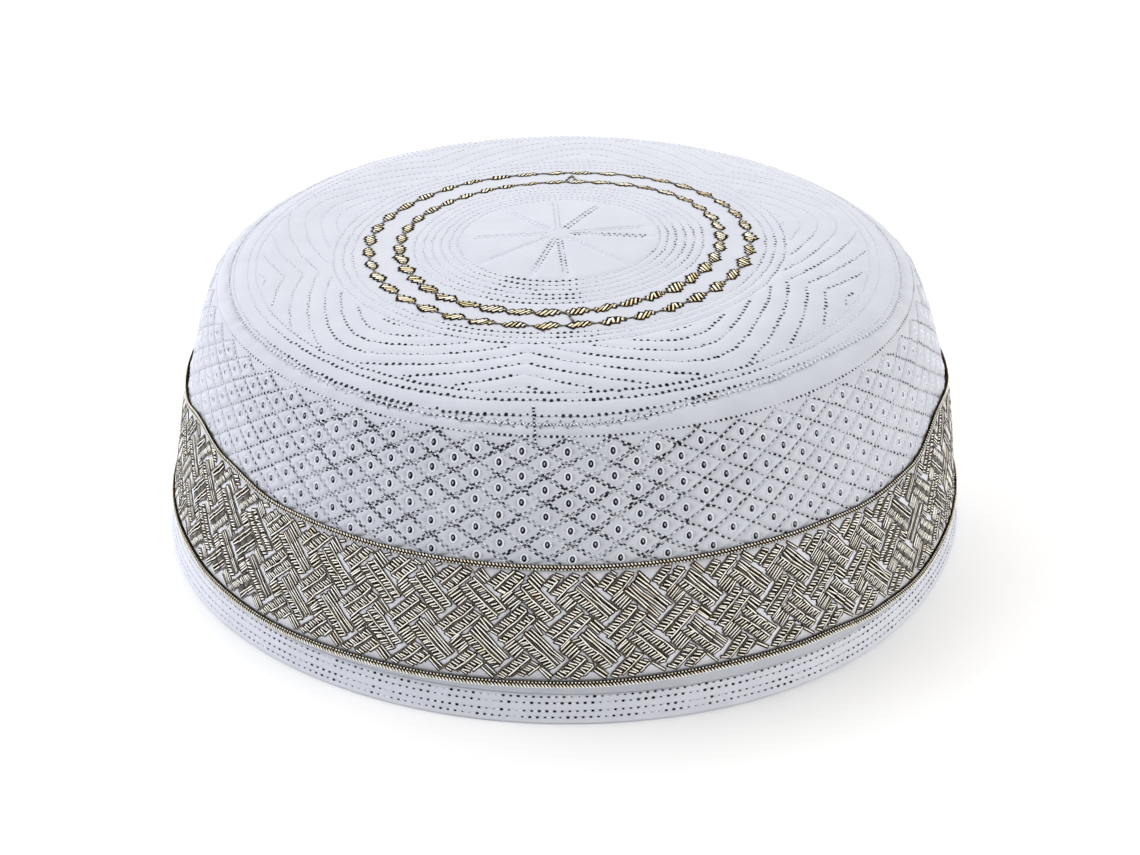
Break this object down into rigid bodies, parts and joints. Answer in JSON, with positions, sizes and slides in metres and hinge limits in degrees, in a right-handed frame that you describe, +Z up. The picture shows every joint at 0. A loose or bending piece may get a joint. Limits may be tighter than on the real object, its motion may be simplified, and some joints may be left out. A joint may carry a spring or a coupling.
{
  "type": "prayer cap",
  "caption": "Quilted white prayer cap with a round crown, rings of satin-stitch leaves, an eyelet side and a gold embroidered band edged with cord.",
  "frame": {"origin": "middle of the hem's lower face, on the surface that the cap stands on", "axes": "+Z up through the middle of the crown, -Y towards the side that the picture shows"},
  "size_m": [0.1879, 0.1881, 0.0672],
  "materials": {
    "white_cloth": "matte quilted cotton",
    "gold_thread": "shiny embroidery thread",
    "cord_thread": "wrapped satin cord"
  },
  "bodies": {
    "root": {"crown_panel": "white_cloth", "ring_inner": "gold_thread", "ring_outer": "gold_thread", "side_wall": "white_cloth", "band_cord_upper": "cord_thread", "gold_band": "gold_thread", "band_cord_lower": "cord_thread", "hem_band": "white_cloth"}
  },
  "joints": []
}
